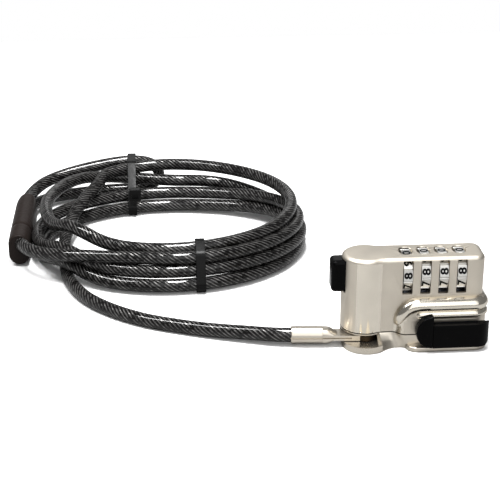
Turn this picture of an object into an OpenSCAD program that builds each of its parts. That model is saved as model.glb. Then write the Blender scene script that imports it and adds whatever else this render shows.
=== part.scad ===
// Laptop cable lock: a die-cast head with four number dials, a push-button and a
// turn lever, on a steel cable wound into a tied coil that ends in a noose.
// Millimetres. +X runs along the head away from the button, +Y to the rear, +Z up.
// The origin is on the underside of the foot, on the mid-plane of the box.

/* [Head] */
// Radius of the barrel that holds the push-button
barrel_r = 9.4; // [9:0.1:10]
// Height of the head above the surface it stands on
head_h = 38; // [37.6:0.1:38.2]
// Right end of the box
box_right = 28.6; // [28.4:0.1:29.4]
// Half the thickness of the box
box_half = 8; // [7.9:0.05:8.2]
// Height of the seam between the body and the foot plate
seam_z = 6.7; // [6.6:0.05:6.8]
// Rounding of the top edges
edge_r = 1.6; // [1:0.1:1.8]
// How far the ridge stands out from the middle of the box
ridge_y = 12; // [11.6:0.1:12]
// Height of the crease where the ridge meets the front
ridge_top = 21.5; // [20:0.1:22]

/* [Dials] */
// Distance between two dials
dial_pitch = 7.2; // [7.1:0.05:7.3]
// Corner radius of a ten-sided dial
dial_r = 8.6; // [8.4:0.05:8.7]
// Width of a dial
dial_w = 3.7; // [3.3:0.1:3.8]
// Width of a window
window_w = 4.1; // [4:0.05:4.2]

/* [Button] */
// Travel of the push-button
button_travel = 2.5; // [1.5:0.1:2.5]
// Height of the push-button
button_h = 13.4; // [12:0.1:13.6]
// Depth of the push-button, front to back
button_d = 8.4; // [7:0.1:8.8]

/* [Lever] */
// Thickness of the lever
lever_t = 3.85; // [3:0.05:4.5]
// Radius of the half-disc hub
hub_r = 6.85; // [6:0.05:6.9]
// Length of the bar from the pivot
bar_len = 23.1; // [18:0.1:23.4]

/* [Cable] */
// Diameter of the cable over its sheath
cable_d = 5.5; // [5:0.1:6]
// Radius of the ferrule
ferrule_r = 3.6; // [3.4:0.1:3.9]
// Length of the ferrule
ferrule_len = 13; // [10:0.5:16]
// Width of a cable tie's strap
tie_w = 4; // [3:0.5:5]
// Thickness of a cable tie's strap
tie_t = 1; // [0.8:0.1:1.1]

/* [Hidden] */
$fn = 64;

// Head
barrel_x = -18.5;
box_left = -12;
box_corner = 4;
fillet_r = 13;
wall = 1.8;
web_right = -9.6;
cavity_half = 6.4;
cavity_right = box_right - wall;
cavity_top = head_h - wall;
ridge_left = -9;
ridge_right = 30.8;
block_right = 30;
corner_at = [24.2, -5.4];
corner_r = 5.8;
ridge_turn = 11;
ridge_edge_z = 14.9;
band_y = 11.2;
joint_gap = 0.05;

// Dials: the first window's centre and the axis that all four turn on
window_x = -2.6;
axis_z = 29.9;
window_low = 22.65;
window_high = 36.9;
rear_window_half = 4.4;
dial_turn = [6, 16, 16, 16];
digit_step = 36;
sleeve_r = 3.2;
sleeve_len = 6.6;
spindle_r = 1.75;
lug_r = 2.6;

// Button
button_left = -32.5;
button_z = 29.3;
button_back = -23.9;
flange_t = 1.5;
boss_right = -20;

// Lever and T-bar
pivot = [7.1, 9.1];
shaft_r = 1.9;
lever_back = -ridge_y - 0.15;
bar_low = 2.3;
bar_high = 12.2;
rear_pad_y = box_half + 1;
cam_r = 4.6;

// Foot
lobe_y = -5.6;
foot_front = -14.8;
lip_z = 2.1;
slot_low = 2.9;
slot_high = 5.7;
rivet_r = 1.65;
screw_spots = [[-7.2, 4.4], [25.2, 4.4], [25.2, -4.4]];
screw_r = 1;

// Cable end: the eyelet turns on the rivet, and its axis leans a little off -X
eye_z = (slot_low + slot_high) / 2;
eye_turn = 175.6;
eye_r = 4;
eye_t = 2.2;
tongue_w = 6.4;
neck_start = 15;
neck_end = 17;

// Coil: an oval ring of four turns, lifted off the surface by the ties' straps
coil_low = 1.1;
coil_high = 24;
coil_out_mid = [-94, 107.6];
coil_out_half = [64.3, 61.2];
coil_in_mid = [-90.25, 102.25];
coil_in_half = [49.25, 41.25];

// Noose sleeve: two runs of cable one above the other
sleeve_x = -163.4;
sleeve_start = 84;
sleeve_end = 142;
sleeve_half_w = 4.9;
sleeve_half_h = 7.5;
run_z = [5.2, 11.2];

// Route of the cable from inside the ferrule to the coil
lead_route = [[-43, -3.7, 4.3], [-49, -3.3, 4.3], [-56, -2.2, 4.2], [-64, 0.5, 3.9],
    [-74, 3.8, 3.4], [-84, 7.5, 3], [-95, 12.2, 2.8], [-105, 17, 2.75],
    [-114, 23, 2.75], [-122, 30, 2.75], [-129, 38, 2.75], [-134, 46, 2.75],
    [-137.5, 54, 2.75], [-140, 62, 2.75], [-141, 70, 2.75]];

// Route of the noose: out of the coil, through the sleeve, round and back into it
noose_route = [[-132, 60, 14.6], [-140, 62.5, 14], [-148, 66.5, 13], [-155, 72, 12],
    [-160, 79, 11.4], [-162.9, 87, 11.2], [-163.4, 96, 11.2], [-163.4, 112, 11.2],
    [-163.4, 128, 11.2], [-163.4, 141, 11.2], [-161, 150, 12], [-156, 157.5, 13.8],
    [-149, 162.3, 15.2], [-140, 165.8, 16.8], [-130, 168.4, 18.2], [-119, 170.3, 19.3],
    [-109, 171.3, 19.4], [-101, 171.8, 17.3], [-97.2, 172.1, 11.8], [-101, 172.3, 6.3],
    [-109, 172.4, 4], [-119, 172, 3.9], [-130, 170.3, 3.9], [-140, 167.6, 4],
    [-149, 164, 4.2], [-156, 158, 4.6], [-161, 150.5, 5], [-163.4, 141, 5.2],
    [-163.4, 128, 5.2], [-163.4, 112, 5.2], [-163.4, 100, 5.2]];

function unit(v) = v / norm(v);
function ellipse(mid, half, n) =
    [for (i = [0:n - 1]) mid + [half[0] * cos(i * 360 / n), half[1] * sin(i * 360 / n)]];
function tangents(route) = [for (i = [0:len(route) - 1])
    unit(route[min(i + 1, len(route) - 1)] - route[max(i - 1, 0)])];
// Carries a side direction along the route without twisting it.
function carried(t, side) = [for (i = 0, u = unit(side - (side * t[0]) * t[0]); i < len(t);
    i = i + 1, u = i < len(t) ? unit(u - (u * t[i]) * t[i]) : u) u];

// A closed tube of flat-sided rings, one at each point of the route.
module tube(route, r, sides = 8, side = [0, 0, 1]) {
    t = tangents(route);
    u = carried(t, side);
    n = len(route);
    points = [for (i = [0:n - 1]) for (k = [0:sides - 1])
        route[i] + r * (cos(k * 360 / sides) * u[i] + sin(k * 360 / sides) * cross(t[i], u[i]))];
    walls = [for (i = [0:n - 2]) for (k = [0:sides - 1])
        [i * sides + k, (i + 1) * sides + k,
         (i + 1) * sides + (k + 1) % sides, i * sides + (k + 1) % sides]];
    ends = [[for (k = [0:sides - 1]) k], [for (k = [sides - 1:-1:0]) (n - 1) * sides + k]];
    polyhedron(points, concat(walls, ends), convexity = 10);
}

// Extrudes a profile drawn in Y and Z along +X.
module along_x(x, len) { translate([x, 0, 0]) rotate([90, 0, 90]) linear_extrude(len) children(); }

// Extrudes a profile drawn in X and Z from y towards -Y.
module along_y(y, len) { translate([0, y, 0]) rotate([90, 0, 0]) linear_extrude(len) children(); }

module x_cylinder(x, len, r) { translate([x, 0, axis_z]) rotate([0, 90, 0]) cylinder(h = len, r = r); }

module pivot_cylinder(y, len, r) {
    translate([pivot[0], y, pivot[1]]) rotate([-90, 0, 0]) cylinder(h = len, r = r);
}

// Head shell ---------------------------------------------------------------

module barrel_solid() {
    translate([barrel_x, 0, 0]) rotate_extrude($fn = 96) {
        translate([0, seam_z]) square([barrel_r, head_h - seam_z - edge_r]);
        square_top = barrel_r - edge_r;
        translate([0, seam_z]) square([square_top, head_h - seam_z]);
        translate([square_top, head_h - edge_r]) circle(r = edge_r, $fn = 48);
    }
}

module box_solid() {
    hull() for (x = [box_left + box_corner, box_right - box_corner], y = [-1, 1])
        translate([x, y * (box_half - box_corner), 0]) {
            translate([0, 0, seam_z]) cylinder(r = box_corner, h = head_h - edge_r - seam_z);
            for (a = [30, 60, 90]) translate([0, 0, head_h - edge_r + edge_r * sin(a) - 0.1])
                cylinder(r = box_corner - edge_r * (1 - cos(a)), h = 0.1);
        }
}

// Fills the hollow corners between the barrel and the box.
module fillet_webs() {
    out = box_half + fillet_r;
    run = sqrt(pow(barrel_r + fillet_r, 2) - out * out);
    translate([0, 0, seam_z]) linear_extrude(head_h - edge_r - seam_z) difference() {
        translate([barrel_x, -box_half]) square([run, 2 * box_half]);
        for (y = [-1, 1]) translate([barrel_x + run, y * out]) circle(r = fillet_r, $fn = 128);
    }
    // The slivers that the square leaves out, up to the tangent points on the barrel
    translate([0, 0, seam_z]) linear_extrude(head_h - edge_r - seam_z) difference() {
        k = barrel_r / (barrel_r + fillet_r);
        polygon([[barrel_x + run * k, -out * k], [barrel_x + run, -box_half],
                 [barrel_x + run, box_half], [barrel_x + run * k, out * k]]);
        for (y = [-1, 1]) translate([barrel_x + run, y * out]) circle(r = fillet_r, $fn = 128);
    }
}

// Outline of the ridge in X and Z, drawn in by inset: a quarter oval on the left
// that sweeps up from the seam, and a rounded corner on the right.
function ridge_outline(inset) = concat(
    [[ridge_left + inset, seam_z]],
    [for (a = [180:-10:90]) [ridge_left + ridge_turn + (ridge_turn - inset) * cos(a),
        seam_z + (ridge_top - seam_z - inset) * sin(a)]],
    [for (a = [90:-15:0]) [ridge_right - 4 + (4 - inset) * cos(a),
        ridge_top - 4 + (4 - inset) * sin(a)]],
    [[ridge_right - inset, seam_z]]);

module ridge_solid() {
    shoulder = ridge_y - box_half;
    intersection() {
        hull() for (a = [0:22.5:90])
            along_y(-box_half - shoulder * sin(a) + 0.02, 0.02)
                polygon(ridge_outline(3 * (1 - cos(a))));
        translate([0, 0, seam_z]) linear_extrude(20) {
            translate([ridge_left - 1, -ridge_y]) square([corner_at[0] - ridge_left + 1, ridge_y]);
            translate([ridge_left - 1, corner_at[1]]) square([ridge_right - ridge_left + 1, -corner_at[1]]);
            translate(corner_at) circle(r = ridge_y + corner_at[1], $fn = 96);
        }
    }
    // The step on the right end
    hull() for (side = [[0, 5], [1, 7.9]])
        translate([20, -box_half, seam_z]) cube([ridge_right - 20 - side[0], box_half + side[1], 10.5]);
    hull() {
        translate([20, -box_half + 1, seam_z]) cube([ridge_right - 21, box_half + 5.9, 13]);
        translate([20, -box_half + 2, seam_z]) cube([ridge_right - 22.4, box_half + 4.9, 14.3]);
    }
}

// Where the front is cut back under the ridge: it sweeps down on the left.
module under_ridge() {
    polygon([[-4.6, seam_z - 1], [-4.4, 9.8], [-2.6, 12.6], [-0.6, 14.4], [1.6, ridge_edge_z],
             [ridge_right + 1, ridge_edge_z], [ridge_right + 1, seam_z - 1]]);
}

module dial_places() { for (i = [0:3]) translate([window_x + i * dial_pitch, 0, 0]) children(); }

module main_body() color([0.78, 0.75, 0.69]) difference() {
    union() {
        difference() {
            union() { barrel_solid(); box_solid(); fillet_webs(); ridge_solid(); }
            difference() {
                along_y(-box_half + 1, 6) under_ridge();
                translate([0, 0, seam_z - 2]) linear_extrude(20) block_outline(band_y);
            }
            translate([barrel_x, 0, seam_z - 1]) cylinder(h = cavity_top - seam_z + 1, r = barrel_r - wall);
            translate([web_right, -cavity_half, seam_z - 1])
                cube([cavity_right - web_right, 2 * cavity_half, cavity_top - seam_z + 1]);
        }
        for (s = screw_spots) translate([s[0], s[1], seam_z]) cylinder(h = 7.3, r = 2.25);
    }
    for (s = screw_spots) translate([s[0], s[1], seam_z - 1]) cylinder(h = 7, r = screw_r + joint_gap);
    dial_places() {
        x_cylinder(-window_w / 2, window_w, dial_r + 0.2);
        translate([-window_w / 2, -box_half - 1, window_low]) cube([window_w, 5, window_high - window_low]);
        translate([-window_w / 2, box_half - 4, axis_z - rear_window_half])
            cube([window_w, 5, 2 * rear_window_half]);
        translate([-2.5, -3.4, cavity_top - 1]) cube([5, 6.8, wall + 2]);
    }
    x_cylinder(barrel_x, 12, spindle_r + joint_gap);
    translate([-31, -button_d / 2 - 0.15, button_z - button_h / 2 - 0.15])
        cube([9, button_d + 0.3, button_h + 0.3]);
    pivot_cylinder(-ridge_y - 1, ridge_y + box_half + 2, shaft_r + joint_gap);
}

// Foot ---------------------------------------------------------------------

module lobe_outline() {
    for (y = [0, lobe_y]) translate([barrel_x, y]) circle(r = barrel_r, $fn = 96);
    translate([barrel_x - barrel_r, lobe_y]) square([2 * barrel_r, -lobe_y]);
}

// The block under the box, cut back to a depth in front.
module block_outline(depth) {
    small = 3;
    left = -8;
    front = -depth;
    translate([left, -7.95]) square([corner_at[0] - left, 7.95 + box_half]);
    translate([-3, front]) square([corner_at[0] + 3, box_half - front]);
    polygon([[-8, -7.95], [-6.6, -8.7], [-5, -10.4], [-4.1, -10.95], [-3, front], [-3, 0], [-8, 0]]);
    translate([corner_at[0] - 1, corner_at[1]]) square([block_right - corner_at[0] + 1, box_half - small - corner_at[1]]);
    translate(corner_at) circle(r = corner_r, $fn = 96);
    translate([block_right - small - 6, 0]) square([6, box_half]);
    translate([block_right - small, box_half - small]) circle(r = small);
    translate([barrel_x, -7.95]) square([12, 7.95 + box_half]);
}

// The lip that runs under the lever.
module lip_outline() {
    translate([1.5, -10.1]) circle(r = 4.5);
    translate([1.5, foot_front + 0.2]) square([22.7, 8]);
    translate([24.2, -8.6]) circle(r = 6, $fn = 96);
    translate([-3, -10.1]) square([6, 6]);
}

// The waist between the lobe and the block, lower down.
module waist_outline() {
    polygon([[-13.5, -13.4], [-10.6, -11.5], [-9, -10.6], [-7.4, -10], [-5.8, -9.75], [-4.3, -9.75],
             [-3.1, -10.2], [-1.2, -11.1], [0, -11.2], [0, 0], [-13.5, 0]]);
}

module foot_plate() color([0.72, 0.69, 0.63]) difference() {
    union() {
        linear_extrude(slot_low) lobe_outline();
        linear_extrude(slot_low) waist_outline();
        linear_extrude(seam_z - joint_gap) translate([barrel_x, 0]) circle(r = barrel_r, $fn = 96);
        linear_extrude(lip_z) lip_outline();
        linear_extrude(seam_z - joint_gap) block_outline(band_y);
    }
    translate([barrel_x - barrel_r - 1, -17, slot_low]) cube([barrel_r + 5.2, 19.2, slot_high - slot_low]);
    translate([barrel_x, lobe_y, -1]) cylinder(h = 9, r = rivet_r + joint_gap);
    translate([barrel_x, lobe_y, -1]) cylinder(h = 2, r = 3);
    translate([pivot[0] - cam_r - 0.6, -5, 2]) cube([2 * cam_r + 1.2, 11.4, 6]);
    for (s = screw_spots) translate([s[0], s[1], 0]) {
        translate([0, 0, -1]) cylinder(h = 9, r = screw_r + joint_gap);
        translate([0, 0, -1]) cylinder(h = 2.8, r = 2.1);
    }
}

module foot_screws() color([0.55, 0.55, 0.56]) for (s = screw_spots) translate([s[0], s[1], 0])
    difference() {
        union() {
            translate([0, 0, 0.3]) cylinder(h = 1.5, r = 2);
            translate([0, 0, 1.5]) cylinder(h = 10.5, r = screw_r);
        }
        for (a = [0, 90]) rotate(a) translate([-1.3, -0.25, 0]) cube([2.6, 0.5, 0.9]);
    }

module rear_pad() color([0.06, 0.06, 0.06]) difference() {
    along_y(rear_pad_y, rear_pad_y - box_half) {
        translate([-2, 3]) square([18.2, 12.2]);
        translate([-4, 5]) square([22.2, 8.2]);
        for (x = [-2, 16.2], z = [5, 13.2]) translate([x, z]) circle(r = 2);
    }
    pivot_cylinder(box_half - 1, 3, 3);
}

module eye_rivet() color([0.7, 0.7, 0.7]) translate([barrel_x, lobe_y, 0]) {
    translate([0, 0, 0.15]) cylinder(h = 0.8, r = 2.8);
    translate([0, 0, 0.5]) cylinder(h = 6.1, r = rivet_r);
}

// A plate across the cavity with one low rib under each dial.
module detent_spring() color([0.8, 0.8, 0.75]) {
    translate([-5.6, -cavity_half + 0.05, 19.8]) cube([28.4, 2 * cavity_half - 0.1, 0.6]);
    dial_places() translate([0, -0.6, 20.3]) cube([2.4, 1.2, 0.6], center = false);
}

// Button -------------------------------------------------------------------

module push_button() color([0.03, 0.03, 0.03]) difference() {
    half_d = button_d / 2;
    half_h = button_h / 2;
    r = 1.7;
    union() {
        hull() for (y = [-1, 1], z = [-1, 1]) {
            translate([button_left + r, y * (half_d - r), button_z + z * (half_h - r)]) sphere(r = r, $fn = 32);
            translate([button_back - 1, y * (half_d - r), button_z + z * (half_h - r)])
                rotate([0, 90, 0]) cylinder(r = r, h = 1, $fn = 32);
        }
        translate([button_back, -half_d - 0.9, button_z - half_h])
            cube([flange_t, button_d + 1.8, button_h]);
        x_cylinder(button_back, boss_right - button_back, 3);
    }
    x_cylinder(button_back - 3, 9, spindle_r);
}

module button_spring() color([0.75, 0.75, 0.78]) {
    turns = 5;
    steps = 12;
    coil_r = 4.1;
    wire_r = 0.35;
    start = button_back + flange_t + wire_r + 0.05;
    span = -12.8 - start;
    tube([for (i = [0:turns * steps]) [start + span * i / (turns * steps),
        coil_r * cos(i * 360 / steps), axis_z + coil_r * sin(i * 360 / steps)]],
        wire_r, 6, [1, 0, 0]);
}

module spindle() color([0.7, 0.7, 0.72]) {
    x_cylinder(button_back - 2.9, 24 - button_back + 2.9, spindle_r);
    dial_places() translate([-2.3, -0.6, axis_z]) cube([1.2, 1.2, lug_r]);
}

module lock_link() color([0.66, 0.64, 0.6]) {
    leg = [-9.4, 0.8];
    difference() {
        translate([leg[0], -1.8, 14.3]) cube([leg[1], 3.6, 18.4]);
        x_cylinder(leg[0] - 1, 3, spindle_r);
    }
    translate([leg[0], -1.8, 14.3]) cube([18, 3.6, 1]);
    translate([pivot[0] - 0.7, -1.8, 14]) cube([1.4, 3.6, 0.5]);
}

// Dials --------------------------------------------------------------------

// Ten flats with a narrow groove cut along each corner.
module dial_profile(i) {
    difference() {
        circle(r = dial_r, $fn = 10);
        for (k = [0:9]) rotate(k * digit_step) translate([dial_r - 0.35, -0.3]) square([1, 0.6]);
    }
}

module dial(i) color([0.85, 0.84, 0.8]) translate([window_x + i * dial_pitch, 0, 0]) difference() {
    translate([0, 0, axis_z]) rotate([digit_step / 2 - dial_turn[i], 0, 0])
        along_x(-dial_w / 2 + 0.1, dial_w) rotate(180) dial_profile(i);
    x_cylinder(-4, 8, sleeve_r + 0.02);
}

module sleeve(i) color([0.8, 0.65, 0.35]) translate([window_x + i * dial_pitch, 0, 0]) difference() {
    union() {
        x_cylinder(-sleeve_len / 2, sleeve_len, sleeve_r);
        x_cylinder(dial_w / 2 + 0.15, 0.7, sleeve_r + 1.2);
    }
    x_cylinder(-4, 8, spindle_r + joint_gap);
    x_cylinder(-sleeve_len / 2 + 0.8, sleeve_len - 1.6, lug_r + 0.15);
}

// Lever --------------------------------------------------------------------

module lever() color([0.03, 0.03, 0.03]) difference() {
    union() {
        intersection() {
            pivot_cylinder(lever_back - lever_t, lever_t, hub_r);
            translate([pivot[0] - hub_r - 1, lever_back - lever_t - 1, 0]) cube([hub_r + 1, lever_t + 2, 20]);
        }
        translate([0, 0, bar_low]) linear_extrude(bar_high - bar_low) {
            bar_end = pivot[0] + bar_len;
            translate([pivot[0], lever_back - lever_t]) square([bar_len - 5.6, lever_t]);
            intersection() {
                translate([bar_end - 5.6, lever_back - lever_t + 6]) circle(r = 6, $fn = 96);
                translate([bar_end - 5.7, lever_back - lever_t]) square([6, lever_t]);
            }
        }
    }
    pivot_cylinder(lever_back - 2.4, 4, shaft_r);
}

module t_bar_shaft() color([0.75, 0.75, 0.77]) {
    neck_start_y = rear_pad_y - 0.1;
    head_y = rear_pad_y + 2.6;
    pivot_cylinder(lever_back - 2.4, neck_start_y - lever_back + 2.4, shaft_r);
    pivot_cylinder(neck_start_y - 0.5, head_y - neck_start_y + 1, 1.3);
    translate([pivot[0] - 3.1, head_y, pivot[1] - 1.25]) cube([6.2, 1.6, 2.5]);
}

module lever_cam() color([0.7, 0.62, 0.45]) difference() {
    pivot_cylinder(-3, 5, cam_r);
    pivot_cylinder(-4, 7, shaft_r);
    translate([pivot[0] - 0.9, -4, pivot[1] + cam_r - 0.8]) cube([1.8, 7, 2]);
}

module retaining_clip() color([0.5, 0.5, 0.52]) difference() {
    pivot_cylinder(5.3, 0.7, 3.3);
    pivot_cylinder(5, 2, shaft_r);
    translate([pivot[0] - 0.8, 5, pivot[1] - 4]) cube([1.6, 2, 3]);
}

// Cable --------------------------------------------------------------------

// Places a shape drawn along +X at the rivet so that it points down the cable.
module at_eye() { translate([barrel_x, lobe_y, eye_z]) rotate(eye_turn) children(); }

module eyelet() color([0.76, 0.72, 0.65]) difference() {
    at_eye() {
        translate([0, 0, -eye_t / 2]) cylinder(h = eye_t, r = eye_r);
        translate([0, -tongue_w / 2, -eye_t / 2]) cube([neck_start, tongue_w, eye_t]);
        hull() {
            translate([neck_start - 2, -tongue_w / 2, -eye_t / 2]) cube([0.5, tongue_w, eye_t]);
            translate([neck_end - 0.5, 0, 0]) rotate([0, 90, 0]) cylinder(h = 0.5, r = 3.2, $fn = 32);
        }
    }
    translate([barrel_x, lobe_y, 0]) cylinder(h = 9, r = rivet_r + joint_gap);
}

module ferrule() color([0.8, 0.78, 0.72]) difference() {
    at_eye() {
        translate([neck_end, 0, 0]) rotate([0, 90, 0]) cylinder(h = ferrule_len - 0.6, r = ferrule_r);
        translate([neck_end + ferrule_len - 0.6, 0, 0]) rotate([0, 90, 0]) cylinder(h = 0.6, r = ferrule_r - 0.4);
    }
    at_eye() translate([neck_end + 3, 0, 0]) rotate([0, 90, 0]) cylinder(h = ferrule_len, r = cable_d / 2);
}

module cable_lead() color([0.15, 0.15, 0.15]) tube(lead_route, cable_d / 2);

module cable_coil() color([0.12, 0.12, 0.12]) translate([0, 0, coil_low])
    linear_extrude(coil_high - coil_low) difference() {
        polygon(ellipse(coil_out_mid, coil_out_half, 60));
        polygon(ellipse(coil_in_mid, coil_in_half, 48));
    }

module noose_loop() color([0.15, 0.15, 0.15]) tube(noose_route, cable_d / 2);

module noose_sleeve() color([0.16, 0.13, 0.11]) difference() {
    bore_r = cable_d / 2;
    round_r = 4.7;
    translate([sleeve_x, sleeve_end, (run_z[0] + run_z[1]) / 2]) rotate([90, 0, 0])
        linear_extrude(sleeve_end - sleeve_start) offset(r = round_r)
            square([2 * (sleeve_half_w - round_r), 2 * (sleeve_half_h - round_r)], center = true);
    translate([sleeve_x, sleeve_start - 1, run_z[1]]) rotate([-90, 0, 0])
        cylinder(h = sleeve_end - sleeve_start + 2, r = bore_r);
    translate([sleeve_x, 100, run_z[0]]) rotate([-90, 0, 0]) cylinder(h = 50, r = bore_r);
}

// A strap bent round everything between two depths, drawn in Y and Z.
module strap(x, near, far, high) {
    along_x(x - tie_w / 2, tie_w) difference() {
        translate([near - tie_t, 0]) square([far - near + 2 * tie_t, high + tie_t]);
        translate([near, tie_t]) square([far - near, high - tie_t]);
    }
}

module tie_front() color([0.05, 0.05, 0.05]) {
    strap(-82, 46.9, 62.1, coil_high + 0.05);
    translate([-85, 62.6, 12]) cube([6, 4, 5.5]);
}

module tie_back() color([0.05, 0.05, 0.05]) {
    strap(-112, 138, 175.4, 25);
    translate([-115, 133.6, 12]) cube([6, 4.4, 5.5]);
}

main_body();
foot_plate();
foot_screws();
rear_pad();
eye_rivet();
detent_spring();
push_button();
button_spring();
spindle();
lock_link();
dial(0);  // dial_1
dial(1);  // dial_2
dial(2);  // dial_3
dial(3);  // dial_4
sleeve(0);  // sleeve_1
sleeve(1);  // sleeve_2
sleeve(2);  // sleeve_3
sleeve(3);  // sleeve_4
lever();
t_bar_shaft();
lever_cam();
retaining_clip();
eyelet();
ferrule();
cable_lead();
cable_coil();
noose_loop();
noose_sleeve();
tie_front();
tie_back();
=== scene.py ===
"""The looks of a laptop cable lock: a die-cast head with four number dials, a push-button and a
turn lever, on a coiled steel cable that ends in a noose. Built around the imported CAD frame."""

import math

import bmesh
import bpy
from mathutils import Matrix, Vector


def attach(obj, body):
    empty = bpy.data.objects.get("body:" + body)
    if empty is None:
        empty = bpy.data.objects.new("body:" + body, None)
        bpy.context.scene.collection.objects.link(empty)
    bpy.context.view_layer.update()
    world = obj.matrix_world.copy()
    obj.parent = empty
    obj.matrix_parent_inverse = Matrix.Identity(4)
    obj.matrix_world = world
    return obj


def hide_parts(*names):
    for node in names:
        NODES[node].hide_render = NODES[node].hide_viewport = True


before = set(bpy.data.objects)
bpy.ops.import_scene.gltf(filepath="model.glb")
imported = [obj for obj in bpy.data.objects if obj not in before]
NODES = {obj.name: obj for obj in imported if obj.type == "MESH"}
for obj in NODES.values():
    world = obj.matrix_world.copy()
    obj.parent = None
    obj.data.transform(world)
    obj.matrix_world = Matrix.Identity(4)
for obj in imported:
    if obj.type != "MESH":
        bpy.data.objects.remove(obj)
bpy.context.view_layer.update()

MM = 0.001

# Camera -------------------------------------------------------------------

CAMERA_AT = (-102.6, -483.8, 246.5)  # mm
CAMERA_DOWN = 23.0  # degrees below the horizon
CAMERA_TURN = 4.5  # degrees to the right of +Y
FOCAL_MM = 96.5  # on a 36 mm sensor


def make_camera():
    data = bpy.data.cameras.new("camera")
    data.lens = FOCAL_MM
    data.sensor_width = 36.0
    data.clip_start = 0.01
    data.clip_end = 50.0
    cam = bpy.data.objects.new("camera", data)
    cam.location = Vector(CAMERA_AT) * MM
    cam.rotation_euler = (math.radians(90 - CAMERA_DOWN), 0, math.radians(-CAMERA_TURN))
    bpy.context.scene.collection.objects.link(cam)
    bpy.context.scene.camera = cam


make_camera()

# Mesh helpers. Everything below is drawn in millimetres and linked in metres. ----------------


def link(name, mesh, body, materials):
    """Links a mesh drawn in mm as a piece that rides on a body."""
    mesh.transform(Matrix.Scale(MM, 4))
    for m in materials:
        mesh.materials.append(m)
    obj = bpy.data.objects.new(name, mesh)
    bpy.context.scene.collection.objects.link(obj)
    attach(obj, body)
    return obj


def mesh_of(name, verts, faces):
    mesh = bpy.data.meshes.new(name)
    mesh.from_pydata([tuple(v) for v in verts], [], faces)
    mesh.update()
    return mesh


def turned_out(mesh):
    """Makes every face point outwards."""
    bm = bmesh.new()
    bm.from_mesh(mesh)
    bmesh.ops.recalc_face_normals(bm, faces=bm.faces)
    bm.to_mesh(mesh)
    bm.free()
    return mesh


def shade(mesh, sharp_deg=30):
    """Smooth shading with flat faces kept flat and sharp edges kept sharp."""
    mesh.shade_smooth()
    mesh.set_sharp_from_angle(angle=math.radians(sharp_deg))
    obj = scratch(mesh)
    mod = obj.modifiers.new("normals", "WEIGHTED_NORMAL")
    mod.keep_sharp = True
    return baked(obj)


def prism(outline, low, high, place=lambda x, y, z: (x, y, z)):
    """A closed extrusion of an outline, with its points put in place by a function."""
    n = len(outline)
    verts = [place(x, y, low) for x, y in outline] + [place(x, y, high) for x, y in outline]
    faces = [[i, (i + 1) % n, n + (i + 1) % n, n + i] for i in range(n)]
    faces += [list(range(n - 1, -1, -1)), list(range(n, 2 * n))]
    return turned_out(mesh_of("prism", verts, faces))


def lofted(loops):
    """A closed solid through loops that all hold the same number of points."""
    n = len(loops[0])
    verts = [p for loop in loops for p in loop]
    faces = [
        [k * n + i, k * n + (i + 1) % n, (k + 1) * n + (i + 1) % n, (k + 1) * n + i]
        for k in range(len(loops) - 1)
        for i in range(n)
    ]
    last = (len(loops) - 1) * n
    faces += [list(range(n - 1, -1, -1)), list(range(last, last + n))]
    return turned_out(mesh_of("loft", verts, faces))


def revolved(profile, place, sides=64):
    """Turns a profile of (distance along the axis, radius) round; place maps (along, u, v)."""
    loops = [
        [place(s, r * math.cos(a), r * math.sin(a)) for a in angles(sides)] for s, r in profile
    ]
    return lofted(loops)


def angles(n):
    return [2 * math.pi * i / n for i in range(n)]


def arc(cx, cy, r, start, end, n=8):
    """Points on an arc, with its angles in degrees."""
    out = []
    for i in range(n + 1):
        a = math.radians(start + (end - start) * i / n)
        out.append((cx + r * math.cos(a), cy + r * math.sin(a)))
    return out


def rounded_rect(x0, x1, y0, y1, r, n=6):
    """An outline with round corners, anticlockwise."""
    out = arc(x1 - r, y0 + r, r, -90, 0, n) + arc(x1 - r, y1 - r, r, 0, 90, n)
    return out + arc(x0 + r, y1 - r, r, 90, 180, n) + arc(x0 + r, y0 + r, r, 180, 270, n)


def block(x0, x1, y0, y1, z0, z1):
    return prism([(x0, y0), (x1, y0), (x1, y1), (x0, y1)], z0, z1)


def scratch(mesh):
    obj = bpy.data.objects.new("scratch", mesh)
    bpy.context.scene.collection.objects.link(obj)
    return obj


def baked(obj):
    """The object's mesh with its modifiers applied; the object is removed."""
    dg = bpy.context.evaluated_depsgraph_get()
    mesh = bpy.data.meshes.new_from_object(obj.evaluated_get(dg))
    bpy.data.objects.remove(obj)
    return mesh


def combined(mesh, others, operation):
    """Adds or cuts each of the other solids, one after another."""
    for other in others:
        obj = scratch(mesh)
        tool = scratch(other)
        mod = obj.modifiers.new("combine", "BOOLEAN")
        mod.operation = operation
        mod.solver = "EXACT"
        mod.object = tool
        mesh = baked(obj)
        bpy.data.objects.remove(tool)
    return mesh


def joined(mesh, others):
    """One mesh of several, where the faces of the others take the second material."""
    bm = bmesh.new()
    bm.from_mesh(mesh)
    count = len(bm.faces)
    for other in others:
        bm.from_mesh(other)
    for k, face in enumerate(bm.faces):
        face.material_index = 1 if k >= count else 0
    out = bpy.data.meshes.new("joined")
    bm.to_mesh(out)
    bm.free()
    return out


def bevelled(mesh, width, segments=3, angle=32):
    obj = scratch(mesh)
    mod = obj.modifiers.new("bevel", "BEVEL")
    mod.width = width
    mod.segments = segments
    mod.limit_method = "ANGLE"
    mod.angle_limit = math.radians(angle)
    mod.use_clamp_overlap = True
    mod.harden_normals = False
    return baked(obj)


# Material helpers -----------------------------------------------------------


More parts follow.
